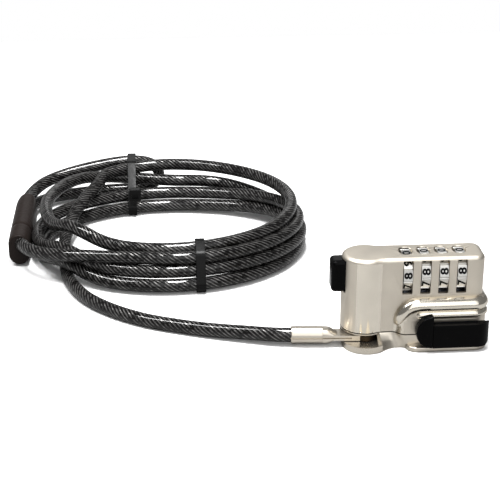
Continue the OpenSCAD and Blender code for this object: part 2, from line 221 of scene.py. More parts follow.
class Nodes:
    """Short names for building one node tree."""

    def __init__(self, name):
        self.material = bpy.data.materials.new(name)
        self.material.use_nodes = True
        self.tree = self.material.node_tree
        self.shader = self.tree.nodes["Principled BSDF"]

    def add(self, kind, **sockets):
        node = self.tree.nodes.new(kind)
        for key, value in sockets.items():
            self.put(node.inputs[key.replace("_", " ")], value)
        return node

    def put(self, socket, value):
        if isinstance(value, bpy.types.NodeSocket):
            self.tree.links.new(value, socket)
        elif isinstance(value, tuple) and len(value) == 3 and socket.type == "RGBA":
            socket.default_value = (*value, 1.0)
        else:
            socket.default_value = value

    def math(self, operation, a, b=0.0):
        node = self.tree.nodes.new("ShaderNodeMath")
        node.operation = operation
        self.put(node.inputs[0], a)
        self.put(node.inputs[1], b)
        return node.outputs[0]

    def mix(self, factor, a, b):
        node = self.tree.nodes.new("ShaderNodeMix")
        node.data_type = "RGBA"
        self.put(node.inputs["Factor"], factor)
        self.put(node.inputs[6], a)
        self.put(node.inputs[7], b)
        return node.outputs[2]

    def remap(self, value, low, high, new_low, new_high):
        node = self.add("ShaderNodeMapRange", Value=value)
        ends = {"From Min": low, "From Max": high, "To Min": new_low, "To Max": new_high}
        for key, number in ends.items():
            node.inputs[key].default_value = number
        return node.outputs[0]

    def noise(self, scale, detail=3.0, stretch=(1, 1, 1)):
        """Noise in object space; scale is in features per metre."""
        coords = self.add("ShaderNodeTexCoord").outputs["Object"]
        mapping = self.add("ShaderNodeMapping", Vector=coords, Scale=stretch)
        node = self.add("ShaderNodeTexNoise", Vector=mapping.outputs[0], Scale=scale, Detail=detail)
        return node.outputs["Fac"]

    def bump(self, height, strength, distance):
        node = self.add("ShaderNodeBump", Height=height, Strength=strength, Distance=distance)
        return node.outputs[0]

    def set(self, **sockets):
        for key, value in sockets.items():
            self.put(self.shader.inputs[key.replace("_", " ")], value)
        return self.material


def metal(name, colour, rough, grain_scale=2500.0, grain=0.05, spread=0.06, stretch=(1, 1, 1)):
    """Bare or plated metal with fine grain and faint handling marks."""
    n = Nodes(name)
    fine = n.noise(grain_scale, 4.0, stretch)
    broad = n.noise(70.0, 3.0)
    dark = tuple(c * 0.86 for c in colour)
    return n.set(
        Base_Color=n.mix(n.remap(broad, 0.3, 0.7, 0.0, 1.0), dark, colour),
        Metallic=1.0,
        Roughness=n.math("ADD", n.remap(broad, 0.3, 0.7, rough - spread / 2, rough + spread / 2),
                         n.remap(fine, 0.3, 0.7, -spread / 3, spread / 3)),
        Normal=n.bump(fine, grain, 0.00002),
    )


def gloss_plastic(name, colour, rough):
    n = Nodes(name)
    fine = n.noise(1800.0, 3.0)
    smear = n.noise(120.0, 4.0, (1, 1, 3))
    lighter = tuple(c * 1.5 + 0.0005 for c in colour)
    return n.set(
        Base_Color=n.mix(smear, colour, lighter),
        Roughness=n.remap(smear, 0.35, 0.7, rough, rough + 0.12),
        Normal=n.bump(fine, 0.04, 0.00002),
        Specular_IOR_Level=0.04,
    )


def matt_plastic(name, colour, rough, grain_scale=1400.0, grain=0.35):
    n = Nodes(name)
    fine = n.noise(grain_scale, 5.0)
    broad = n.noise(90.0, 3.0)
    lighter = tuple(c * 1.4 + 0.001 for c in colour)
    return n.set(
        Base_Color=n.mix(broad, colour, lighter),
        Roughness=n.remap(fine, 0.3, 0.7, rough - 0.06, rough + 0.08),
        Normal=n.bump(fine, grain, 0.00005),
        Specular_IOR_Level=0.08,
    )


ROPE_LAY = 24.0  # mm along the cable for one turn of the rope
ROPE_STRANDS = 11


def cable_material():
    """Twisted steel rope seen through a smoky clear sheath, with a painted highlight on the wire crowns and
    painted shade between the wires. UV is (mm along, turns round).
    """
    n = Nodes("smoky_sheath_over_rope")
    uv = n.add("ShaderNodeUVMap").outputs[0]
    split = n.add("ShaderNodeSeparateXYZ", Vector=uv)
    along, around = split.outputs[0], split.outputs[1]
    twist = n.math("SUBTRACT", n.math("MULTIPLY", around, ROPE_STRANDS),
                   n.math("MULTIPLY", along, ROPE_STRANDS / ROPE_LAY))
    across = n.math("MULTIPLY", n.math("SUBTRACT", n.math("FRACT", twist), 0.5), 2.0)
    depth = n.math("SUBTRACT", 1.0, n.math("MULTIPLY", across, across))
    crown = n.math("SQRT", n.math("MAXIMUM", depth, 0.02))
    broken = n.noise(420.0, 3.0)
    # Partly the rope's real wires and partly painted light: only the crowns are light metal (painted
    # highlight), the rest is near-black (painted shade).
    painted_crown_glint = n.math("MULTIPLY", n.math("POWER", crown, 22.0), n.remap(broken, 0.4, 0.62, 0.05, 1.0))
    normal = n.add("ShaderNodeNewGeometry").outputs["Normal"]
    return n.set(
        Base_Color=n.mix(painted_crown_glint, (0.0012, 0.001, 0.001), (0.2, 0.195, 0.19)),
        Metallic=n.remap(painted_crown_glint, 0.2, 0.8, 0.0, 0.85),
        Roughness=n.remap(broken, 0.3, 0.7, 0.26, 0.38),
        Specular_IOR_Level=0.05,
        Normal=n.bump(crown, 0.7, 0.0003),
        Coat_Weight=0.45,
        Coat_Roughness=0.04,
        Coat_Normal=normal,
    )


def make_materials():
    nickel = (0.63, 0.58, 0.5)
    return {
        "body": metal("nickel_satin", nickel, 0.46),
        # painted shade: a dark finish that stands for the shadow in narrow gaps, put on the seam, the slot,
        # the eye ring and its rivet
        "painted_gap_shade": metal("shadowed_recess", (0.05, 0.035, 0.022), 0.5),
        "ridge": metal("nickel_bright", (0.72, 0.67, 0.58), 0.19, grain=0.03),
        "foot": metal("nickel_foot", (0.62, 0.57, 0.49), 0.3),
        "bright": metal("bright_steel", (0.7, 0.69, 0.665), 0.2, stretch=(1, 1, 6)),
        "zinc": metal("zinc_plate", (0.55, 0.56, 0.57), 0.38, grain=0.12),
        "spring": metal("spring_steel", (0.32, 0.33, 0.36), 0.3),
        "brass": metal("brass_turned", (0.72, 0.53, 0.24), 0.3, stretch=(8, 1, 1)),
        "dial": metal("dial_silver", (0.74, 0.73, 0.7), 0.3, grain=0.08),
        "ink": matt_plastic("digit_paint", (0.003, 0.003, 0.0035), 0.45),
        "gloss": gloss_plastic("black_gloss", (0.001, 0.001, 0.0011), 0.1),
        "rubber": matt_plastic("pad_rubber", (0.012, 0.012, 0.012), 0.62, 900.0, 0.5),
        "sleeve": matt_plastic("sleeve_plastic", (0.011, 0.008, 0.007), 0.42, 700.0, 0.25),
        "tie": matt_plastic("tie_nylon", (0.004, 0.004, 0.004), 0.28, 600.0, 0.12),
        "cable": cable_material(),
    }


LOOK = make_materials()

# The cable ------------------------------------------------------------------

CABLE_D = 5.5
FERRULE_END = 30.0  # mm from the rivet to the ferrule's mouth
RIVET = Vector((-18.5, -5.6, 4.3))
EYE_TURN = 175.6
EYE_DIR = Vector((math.cos(math.radians(EYE_TURN)), math.sin(math.radians(EYE_TURN)), 0))

# From the ferrule along the surface, under the coil and up its inner left side.
LEAD = [(-49, -3.3, 4.3), (-56, -2.2, 4.2), (-64, 0.5, 3.9), (-74, 3.8, 3.4), (-84, 7.5, 3),
        (-95, 12.2, 2.8), (-105, 17, 2.75), (-114, 23, 2.75), (-122, 30, 2.75), (-129, 38, 2.75),
        (-134, 46, 2.75), (-137.5, 54, 2.75), (-140, 62, 2.75), (-141.3, 71, 2.8),
        (-142.5, 85, 3.4), (-143.3, 99, 6), (-142, 110, 8.6), (-139.8, 120, 10.9),
        (-135.6, 131, 13.6), (-129, 145.5, 16.2)]

# The coil's turns run clockwise seen from above, from the rear tie. Each station is the angle
# travelled, how far outside the base oval the cable lies, and its height, in degrees and mm.
COIL_MID = (-94.0, 101.0)
COIL_HALF = (60.0, 50.0)
COIL_START = 115.0
STATIONS = [
    (0, 12.2, 18.2), (25, 12.4, 19.8), (70, 4, 20.5), (115, -3.2, 20.2), (160, -5.5, 18.6),
    (205, -7.7, 17), (250, -5.5, 18), (295, -3, 18), (323, 4.5, 18), (347, 13.5, 17.4),
    (360, 15.5, 14.8), (373, 10, 13.9), (387, 3.4, 14.4), (407, 7, 13), (427, 8, 9.6),
    (447, 6.5, 6), (465, 2.8, 4.2), (482, 0.4, 3.85), (520, 1, 3.85), (565, 1.8, 3.85),
    (610, 1.6, 3.85), (655, 0.5, 3.85), (700, -2, 3.85), (745, -3.7, 3.85), (768, -3.2, 4.4),
    (800, -1, 7), (832, 1.2, 9.3), (880, 0.2, 9.4), (925, -1, 9.35), (970, 0.5, 9.35),
    (1015, 2, 9.4), (1060, 1, 9.35), (1105, -0.5, 9.35), (1130, -0.6, 10), (1160, -0.3, 12.8),
    (1192, 0, 14.9), (1240, -1.4, 14.9), (1285, -2.5, 14.8),
]
CROSSING = -142.0  # where the coil passes over the lead
CROSSING_HUMP = 4.8
CROSSING_SPREAD = 15.0

# From the coil through the sleeve, round the noose and back into the sleeve.
NOOSE = [(-107, 55.2, 14.8), (-119, 57, 14.7), (-130, 59.5, 14.5), (-140, 62.5, 14), (-148, 66.5, 13),
         (-155, 72, 12), (-160, 79, 11.4), (-162.9, 87, 11.2), (-163.4, 96, 11.2), (-163.4, 112, 11.2),
         (-163.4, 128, 11.2), (-163.4, 141, 11.2), (-161, 150, 12), (-156, 157.5, 13.8),
         (-149, 162.3, 15.2), (-140, 165.8, 16.8), (-130, 168.4, 18.2), (-119, 170.3, 19.3),
         (-109, 171.3, 19.4), (-101, 171.8, 17.3), (-97.2, 172.1, 11.8), (-101, 172.3, 6.3),
         (-109, 172.4, 4), (-119, 172, 3.9), (-130, 170.3, 3.9), (-140, 167.6, 4),
         (-149, 164, 4.2), (-156, 158, 4.6), (-161, 150.5, 5), (-163.4, 141, 5.2),
         (-163.4, 128, 5.2), (-163.4, 112, 5.2), (-163.4, 101, 5.2)]


def hermite(stations, t):
    """A smooth value through stations (t, value, value) without overshoot at the ends."""
    k = 0
    while k < len(stations) - 2 and t > stations[k + 1][0]:
        k += 1
    before, a, b, after = (stations[max(0, min(len(stations) - 1, k + j))] for j in (-1, 0, 1, 2))
    span = b[0] - a[0]
    s = (t - a[0]) / span
    values = []
    for i in (1, 2):
        m0 = (b[i] - before[i]) / (b[0] - before[0]) * span
        m1 = (after[i] - a[i]) / (after[0] - a[0]) * span
        values.append((2 * s**3 - 3 * s**2 + 1) * a[i] + (s**3 - 2 * s**2 + s) * m0
                      + (3 * s**2 - 2 * s**3) * b[i] + (s**3 - s**2) * m1)
    return values


def coil_point(t):
    out, z = hermite(STATIONS, t)
    a = math.radians(COIL_START - t)
    normal = Vector((math.cos(a) / COIL_HALF[0], math.sin(a) / COIL_HALF[1])).normalized()
    off = (COIL_START - t - CROSSING + 180) % 360 - 180
    z += CROSSING_HUMP * math.exp(-((off / CROSSING_SPREAD) ** 2))
    return Vector((COIL_MID[0] + COIL_HALF[0] * math.cos(a) + out * normal.x,
                   COIL_MID[1] + COIL_HALF[1] * math.sin(a) + out * normal.y, z))


def spline(points, step=2.0):
    """A smooth line through points, with a point about every step mm."""
    pts = [Vector(p) for p in points]
    ends = [pts[0] * 2 - pts[1]] + pts + [pts[-1] * 2 - pts[-2]]
    out = []
    for i in range(1, len(ends) - 2):
        p0, p1, p2, p3 = ends[i - 1 : i + 3]
        d0, d1, d2 = (max((b - a).length, 1e-6) for a, b in ((p0, p1), (p1, p2), (p2, p3)))
        m1 = (p2 - p1) + ((p1 - p0) / d0 - (p2 - p0) / (d0 + d1)) * d1
        m2 = (p2 - p1) + ((p3 - p2) / d2 - (p3 - p1) / (d1 + d2)) * d1
        count = max(1, round(d1 / step))
        for j in range(count):
            s = j / count
            out.append((2 * s**3 - 3 * s**2 + 1) * p1 + (s**3 - 2 * s**2 + s) * m1
                       + (3 * s**2 - 2 * s**3) * p2 + (s**3 - s**2) * m2)
    out.append(pts[-1])
    return out


def relaxed(line, rounds):
    """Evens out small kinks; the ends stay."""
    for _ in range(rounds):
        inner = [(a + b * 2 + c) / 4 for a, b, c in zip(line, line[1:], line[2:])]
        line = [line[0]] + inner + [line[-1]]
    return line


def cable_line():
    inside = [tuple(RIVET + EYE_DIR * s) for s in (FERRULE_END - 8, FERRULE_END - 4)]
    turns = [coil_point(t) for t in range(STATIONS[0][0], STATIONS[-1][0] + 1, 5)]
    return relaxed(spline(inside + LEAD + [tuple(p) for p in turns] + NOOSE), 4)


def carried_frames(line):
    """Tangent and side directions carried along a line without twist."""
    last = len(line) - 1
    tangents = [(line[min(i + 1, last)] - line[max(i - 1, 0)]).normalized() for i in range(last + 1)]
    side = Vector((0, 0, 1))
    frames = []
    for t in tangents:
        side = (side - t * side.dot(t)).normalized()
        frames.append((t, side, t.cross(side)))
    return frames


def tube(line, radius, sides=20):
    """A closed tube with UV = (mm along, turns round)."""
    frames = carried_frames(line)
    verts, lengths = [], [0.0]
    for i, (p, (_, u, v)) in enumerate(zip(line, frames)):
        if i:
            lengths.append(lengths[-1] + (p - line[i - 1]).length)
        verts += [p + radius * (math.cos(a) * u + math.sin(a) * v) for a in angles(sides)]
    n = len(line)
    faces = []
    for i in range(n - 1):
        here, there = i * sides, (i + 1) * sides
        for k in range(sides):
            after = (k + 1) % sides
            faces.append([here + k, here + after, there + after, there + k])
    faces += [list(range(sides - 1, -1, -1)), list(range((n - 1) * sides, n * sides))]
    mesh = mesh_of("tube", verts, faces)
    layer = mesh.uv_layers.new(name="UVMap")
    for f, polygon in enumerate(mesh.polygons[: (n - 1) * sides]):
        i, k = divmod(f, sides)
        for loop, (di, dk) in zip(polygon.loop_indices, ((0, 0), (0, 1), (1, 1), (1, 0))):
            layer.data[loop].uv = (lengths[i + di], (k + dk) / sides)
    mesh.shade_smooth()
    return mesh


SHEATH_D = 5.85  # a little fuller than the cord, so that stacked turns touch


def make_cable():
    line = cable_line()
    mesh = tube(line, SHEATH_D / 2)
    for v in mesh.vertices:
        v.co.z = max(v.co.z, 0.0)  # the fuller sheath stays above the floor
    mouth = RIVET + EYE_DIR * FERRULE_END
    start = next(i for i, p in enumerate(line) if (p - RIVET).dot(EYE_DIR) >= FERRULE_END)
    free = line[start:]
    length = sum((b - a).length for a, b in zip(free, free[1:]))
    obj = link("cable", mesh, "cable_body", [LOOK["cable"]])
    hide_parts("cable_lead", "cable_coil", "noose_loop")
    return obj, line, mouth, length


cable, cable_path, cable_mouth, cable_length = make_cable()

# Noose sleeve -----------------------------------------------------------------

SLEEVE_X = -163.4
SLEEVE_MID_Z = 8.2


def stadium(half_w, half_h, n=16):
    """An upright outline with round ends, drawn round the origin."""
    run = half_h - half_w
    half_turn = [math.pi * i / n for i in range(n + 1)]
    top = [(half_w * math.cos(a), run + half_w * math.sin(a)) for a in half_turn]
    low = [(-half_w * math.cos(a), -run - half_w * math.sin(a)) for a in half_turn]
    return top + low


def make_sleeve():
    # distance along, half width and half height
    rings = [(84, 3.9, 6.6), (84.4, 4.4, 7.1), (85.4, 4.75, 7.4), (96, 4.9, 7.5), (98, 4.85, 7.45),
             (98.6, 4.4, 7.05), (99.6, 4.35, 7), (100.2, 4.7, 7.35), (101.4, 4.9, 7.5),
             (130, 4.9, 7.5), (135, 4.7, 7.3), (139, 4.2, 6.8), (141, 3.8, 6.3), (142, 3.2, 5.9)]
    loops = [[(SLEEVE_X + x, y, SLEEVE_MID_Z + z) for x, z in stadium(w, h)] for y, w, h in rings]
    mesh = shade(lofted(loops), 40)
    obj = link("noose_sleeve_skin", mesh, "cable_body", [LOOK["sleeve"]])
    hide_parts("noose_sleeve")
    return obj


# Cable ties ---------------------------------------------------------------------


def hull(points):
    """The convex hull of points in a plane, anticlockwise."""
    pts = sorted(set((round(x, 4), round(y, 4)) for x, y in points))

    def half(seq):
        out = []
        for p in seq:
            while len(out) > 1 and ((out[-1][0] - out[-2][0]) * (p[1] - out[-2][1])
                                    - (out[-1][1] - out[-2][1]) * (p[0] - out[-2][0])) <= 0:
                out.pop()
            out.append(p)
        return out[:-1]

    return half(pts) + half(pts[::-1])


TIE_W = 4.2
TIE_T = 1.0


def make_tie(name, node, at_x, depth_low, depth_high, head_depth, head_x, head_z):
    """A strap drawn tight round the runs of cable that cross a plane of constant X."""
    centres = []
    for a, b in zip(cable_path, cable_path[1:]):
        if (a.x - at_x) * (b.x - at_x) <= 0 and depth_low < a.y < depth_high:
            s = (at_x - a.x) / (b.x - a.x) if b.x != a.x else 0
            p = a.lerp(b, s)
            centres.append((p.y, p.z))
    r = CABLE_D / 2 + 0.12
    inner = hull([(y + r * math.cos(a), max(0.9, z + r * math.sin(a)))
                  for y, z in centres for a in angles(32)])
    outer = hull([(y + (r + TIE_T) * math.cos(a), max(0.02, z + (r + TIE_T) * math.sin(a)))
                  for y, z in centres for a in angles(32)])
    place = lambda y, z, x: (x, y, z)
    solid = prism(outer, at_x - TIE_W / 2, at_x + TIE_W / 2, place)
    strap = combined(solid, [prism(inner, at_x - TIE_W, at_x + TIE_W, place)], "DIFFERENCE")
    strap = bevelled(strap, 0.25, 2, 50)
    head = prism(rounded_rect(-2.9, 2.9, 0, 5.8, 0.9), 0, 4.4)
    pocket = prism(rounded_rect(-1.5, 1.5, 1.2, 3.6, 0.3), 3.4, 5)
    turn = Matrix.Rotation(math.radians(90), 4, "X")
    for part in (head, pocket):
        part.transform(Matrix.Translation((at_x + head_x, head_depth, head_z)) @ turn)
    head = combined(bevelled(head, 0.4, 2, 50), [pocket], "DIFFERENCE")
    mesh = combined(strap, [head], "UNION")
    obj = link(name, shade(mesh, 35), "cable_body", [LOOK["tie"]])
    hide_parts(node)
    return obj


noose_sleeve = make_sleeve()
tie_front = make_tie("tie_front_strap", "tie_front", -82, 30, 75, 66.2, 0, 11)
tie_back = make_tie("tie_back_strap", "tie_back", -112, 125, 185, 139, 1.5, 11)


def at_eye(s, u, v):
    """s runs down the cable from the rivet, u towards the front and v upwards."""
    side = Vector((0, 0, 1)).cross(EYE_DIR)
    return tuple(RIVET + EYE_DIR * s + side * u + Vector((0, 0, v)))


def slit(low, high, depth):
    """A cut along both sides of the cable's end, where its two halves meet."""
    cuts = []
    for side in (-1, 1):
        outline = [(low, 5 * side), (high, 5 * side), (high, depth * side), (low, depth * side)]
        cuts.append(prism(outline, -0.3, 0.3, at_eye))
    return cuts


def make_ferrule():
    profile = [(17, 2.9), (17, 3.3), (17.3, 3.6), (29.3, 3.6),
               (29.8, 3.45), (30, 3.1), (30, 2.78), (24, 2.78)]
    loops = [[at_eye(s, r * math.cos(a), r * math.sin(a)) for a in angles(64)] for s, r in profile]
    mesh = combined(lofted(loops), slit(16, 31, 2.95), "DIFFERENCE")
    mesh = shade(bevelled(mesh, 0.1, 2, 40), 30)
    obj = link("ferrule_barrel", mesh, "cable_body", [LOOK["foot"]])
    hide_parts("ferrule")
    return obj


ferrule = make_ferrule()

[tuple(p * MM) for p in cable_path]


# Head: the same driving sizes as the CAD -----------------------------------------

BARREL_X = -18.5
BARREL_R = 9.4
HEAD_H = 38.0
BOX_RIGHT = 28.6
BOX_HALF = 8.0
BOX_CORNER = 4.0
FILLET = 13.0  # between the barrel and the box
SEAM_Z = 6.7
SEAM_GAP = 0.45
EDGE_DROP = 1.6
EDGE_IN = 2.2
WALL = 1.8
FOOT_RIGHT = 30.0
CORNER = (24.2, -5.4)
CORNER_R = 5.8
RIDGE_EDGE_Z = 14.9
DIAL_X = [-2.6 + 7.2 * i for i in range(4)]
DIAL_TURN = (6, 16, 16, 16)
DIAL_R = 8.6
DIAL_W = 3.7
AXIS_Z = 29.9
WINDOW_W = 4.1
WINDOW_LOW = 22.65
WINDOW_HIGH = 36.9
PIVOT = (7.1, 9.1)
BUTTON_LEFT = -32.5
BUTTON_Z = 29.3
BUTTON_H = 13.4
BUTTON_D = 8.4
LEVER_BACK = -12.15
LEVER_T = 3.85
HUB_R = 6.85
BAR_END = 30.2
LOBE_Y = -5.6
RIVET_R = 1.7
SCREWS = ((-7.2, 4.4), (25.2, 4.4), (25.2, -4.4))
SCREW_R = 1.05
SCREW_HEAD_R = 2.1
SCREW_HEAD_DEEP = 1.8
BAR_LOW = 2.3
BAR_HIGH = 12.2
DIAL_BORE_R = 3.22


def plan_of_head():
    """Points and outward normals of the barrel and the box, blended by two hollow fillets."""
    out = BOX_HALF + FILLET
    run = math.sqrt((BARREL_R + FILLET) ** 2 - out**2)
    touch = math.degrees(math.atan2(out, run))
    points = []

    def sweep(cx, cy, r, start, end, n, hollow=False):
        for i in range(n + 1):
            a = math.radians(start + (end - start) * i / n)
            c, d = math.cos(a), math.sin(a)
            points.append(((cx + r * c, cy + r * d), (-c, -d) if hollow else (c, d)))

    sweep(BARREL_X, 0, BARREL_R, touch, 360 - touch, 72)
    sweep(BARREL_X + run, -out, FILLET, 180 - touch, 90, 8, True)
    sweep(BOX_RIGHT - BOX_CORNER, -BOX_HALF + BOX_CORNER, BOX_CORNER, 270, 360, 10)
    sweep(BOX_RIGHT - BOX_CORNER, BOX_HALF - BOX_CORNER, BOX_CORNER, 0, 90, 10)
    sweep(BARREL_X + run, out, FILLET, 270, 180 + touch, 8, True)
    return points


def upper_body():
    """The barrel and box, with a rounded edge all round the top."""
    levels = [(SEAM_Z - 2, 0), (HEAD_H - EDGE_DROP, 0)]
    for i in range(1, 9):
        a = math.pi / 2 * i / 8
        levels.append((HEAD_H - EDGE_DROP * (1 - math.sin(a)), EDGE_IN * (1 - math.cos(a))))
    return lofted([[(x - nx * d, y - ny * d, z) for (x, y), (nx, ny) in plan_of_head()] for z, d in levels])


# The waist in plan between the barrel and the block, at the bottom and at the seam.
WAIST = [(-12.2, -12.6, -13.2, -8.15), (-10.6, -11.5, -11.6, -8.1), (-9, -10.6, -10, -8),
         (-7.4, -10, -8.6, -7.95), (-5.8, -9.75, -7.6, -8.1), (-4.3, -9.75, -6.6, -8.7),
         (-3.1, -10.2, -5.8, -9.6), (-2.2, -10.75, -5, -10.4), (-1.2, -11.1, -4.1, -10.95),
         (0, -11.2, -3, -11.2)]


def plan_of_foot(blend, lobe_blend, inset=0.0):
    """The foot's outline; blend runs from 0 at the bottom to 1 at the seam."""
    points = []
    for i in range(33):
        low = math.radians(180 + 130 * i / 32)
        high = math.radians(180 + 122 * i / 32)
        r = BARREL_R - inset
        x0, y0 = BARREL_X + r * math.cos(low), LOBE_Y + r * math.sin(low)
        x1, y1 = BARREL_X + r * math.cos(high), r * math.sin(high)
        points.append((x0 + (x1 - x0) * lobe_blend, y0 + (y1 - y0) * lobe_blend))
    for x0, y0, x1, y1 in WAIST:
        points.append((x0 + (x1 - x0) * blend, y0 + (y1 - y0) * blend + inset))
    points += arc(*CORNER, CORNER_R - inset, 270, 360, 12)
    points += arc(FOOT_RIGHT - 3, BOX_HALF - 3, 3 - inset, 0, 90, 8)
    points += arc(BARREL_X, 0, BARREL_R - inset, 58, 180, 28)
    return points


def lower_body():
    """The block under the ridge, above the seam."""
    loops = []
    for z, inset in ((SEAM_Z - 2, 0), (12.4, 0), (15.6, 0.6), (17.6, 2)):
        points = [(-7.9, -5)] + [(x, y + inset) for _, _, x, y in WAIST[4:]]
        points += arc(*CORNER, CORNER_R - inset, 270, 360, 12)
        points += arc(FOOT_RIGHT - 3, BOX_HALF - 3.1, 3 - inset, 0, 90, 8) + [(20, 6), (-7.9, 5)]
        loops.append([(x, y, z) for x, y in points])
    return lofted(loops)


# The ridge's midline from its tip, down the left, along the front and round the right corner:
# x, y, z, then how far the ridge spreads sideways and how far it stands out.
RIDGE = [(-6.3, -7.9, 9.4, 0.5, 0.4), (-6.2, -7.9, 10.1, 1.4, 1.6), (-5.9, -8, 11.3, 2, 2.6),
         (-5.3, -8, 13, 2.45, 3.3), (-4.3, -8, 14.8, 2.75, 3.7), (-2.7, -8, 16.7, 2.95, 3.9),
         (-0.5, -8, 17.85, 3.05, 4), (2.2, -8, 18.2, 3.1, 4), (13, -8, 18.2, 3.1, 4),
         (23.4, -8, 18.2, 3.1, 4)]


def ridge():
    loops = []
    rows = []
    for i, (x, y, z, wide, proud) in enumerate(RIDGE):
        x0, z0 = RIDGE[max(i - 1, 0)][0], RIDGE[max(i - 1, 0)][2]
        x1, z1 = RIDGE[min(i + 1, len(RIDGE) - 1)][0], RIDGE[min(i + 1, len(RIDGE) - 1)][2]
        size = math.hypot(x1 - x0, z1 - z0)
        rows.append(((x, y, z), (0, -1, 0), (-(z1 - z0) / size, 0, (x1 - x0) / size), wide, proud))
    for a in range(-80, 1, 10):
        c, d = math.cos(math.radians(a)), math.sin(math.radians(a))
        rows.append(((CORNER[0] + 2.6 * c, CORNER[1] + 2.6 * d, 18.2), (c, d, 0), (0, 0, 1), 3.1, 4))
    rows.append(((CORNER[0] + 2.6, 5, 18.2), (1, 0, 0), (0, 0, 1), 3.1, 4))
    rows.append(((CORNER[0] + 2.2, 7.2, 18.2), (1, 0, 0), (0, 0, 1), 2.6, 3.4))
    for at, out, up, wide, proud in rows:
        at, out, up = Vector(at), Vector(out), Vector(up)
        loops.append([at + up * wide * math.cos(a) + out * proud * math.sin(a) for a in angles(40)])
    return lofted(loops)


def band():
    """The fuller strip between the ridge and the lever, turned under at its lower edge."""
    front = ((0.4, 0.7, 1.2), (1.6, 1.6, 2.1), (3.4, 2.05, 2.5), (6, 2.1, 2.55), (23.4, 2.1, 2.55))
    rows = [((x, -9.4, 14.4), (0, -1, 0), wide, proud) for x, wide, proud in front]
    for a in range(-80, 1, 10):
        c, d = math.cos(math.radians(a)), math.sin(math.radians(a))
        rows.append(((CORNER[0] + 4 * c, CORNER[1] + 4 * d, 14.4), (c, d, 0), 2.1, 2.55))
    rows.append(((CORNER[0] + 4, 4, 14.4), (1, 0, 0), 2.1, 2.55))
    rows.append(((CORNER[0] + 3.4, 6.6, 14.4), (1, 0, 0), 1.7, 2.1))
    loops = []
    for at, out, wide, proud in rows:
        at, out, up = Vector(at), Vector(out), Vector((0, 0, 1))
        loops.append([at + up * wide * math.cos(a) + out * proud * math.sin(a) for a in angles(32)])
    return lofted(loops)


def oval(cx, cy, a, b, n=32):
    return [(cx + a * math.cos(t), cy + b * math.sin(t)) for t in angles(n)]


def dish(x):
    """A shallow oval bowl sunk in the top round one dial."""
    steps = (0, 0.35, 0.7, 1)
    return lofted([[(px, py, HEAD_H - 1.1 + 1.3 * s) for px, py in oval(x, 0.4, 2.3 + 0.7 * s, 3.3 + 0.9 * s)]
                   for s in steps])


def upright(px, pz, y):
    return (px, y, pz)


def make_head():
    solid = combined(upper_body(), [lower_body(), band(), ridge()], "UNION")
    half_h = BUTTON_H / 2 + 0.15
    cuts = [
        block(-40, 40, -20, 20, 0, SEAM_Z),
        prism(oval(BARREL_X, 0, BARREL_R - WALL, BARREL_R - WALL, 64), SEAM_Z - 1, HEAD_H - WALL),
        block(-9.6, BOX_RIGHT - WALL, -6.4, 6.4, SEAM_Z - 1.3, HEAD_H - WALL - 0.3),
        block(-31, -22, -BUTTON_D / 2 - 0.15, BUTTON_D / 2 + 0.15, BUTTON_Z - half_h, BUTTON_Z + half_h),
    ]
    for x in DIAL_X:
        low, high = x - WINDOW_W / 2, x + WINDOW_W / 2
        front = rounded_rect(low, high, WINDOW_LOW, WINDOW_HIGH, 0.4, 3)
        rear = rounded_rect(low, high, AXIS_Z - 4.4, AXIS_Z + 4.4, 0.4, 3)
        cuts.append(prism(front, -BOX_HALF - 1, -3, upright))
        cuts.append(prism(rear, 3, BOX_HALF + 1, upright))
        cuts.append(prism(oval(x, 0.4, 2.5, 3.5), HEAD_H - WALL - 1, HEAD_H + 1))
        cuts.append(dish(x))
        room = DIAL_R + 0.12
        cuts.append(revolved([(x - 2, room), (x + 2, room)], lambda s, u, v: (s, u, AXIS_Z + v), 96))
    solid = bevelled(combined(solid, cuts, "DIFFERENCE"), 0.16, 2, 50)
    mesh = shade(solid, 32)
    obj = link("head_shell", mesh, "housing", [LOOK["body"], LOOK["ridge"]])
    for p in mesh.polygons:
        c = p.center / MM
        low_arm = c.x < 1 and c.z < 24 and c.y < -BOX_HALF - 0.35 and c.z > 9.2 + max(0, (c.x + 4.3) * 1.3)
        in_band = c.z > 12.45 and (c.y < -11.3 or c.x > 30.05)
        if (c.y < -BOX_HALF - 0.2 or c.x > BOX_RIGHT + 0.2) and RIDGE_EDGE_Z < c.z < 22 or low_arm or in_band:
            p.material_index = 1
    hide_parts("main_body")


make_head()


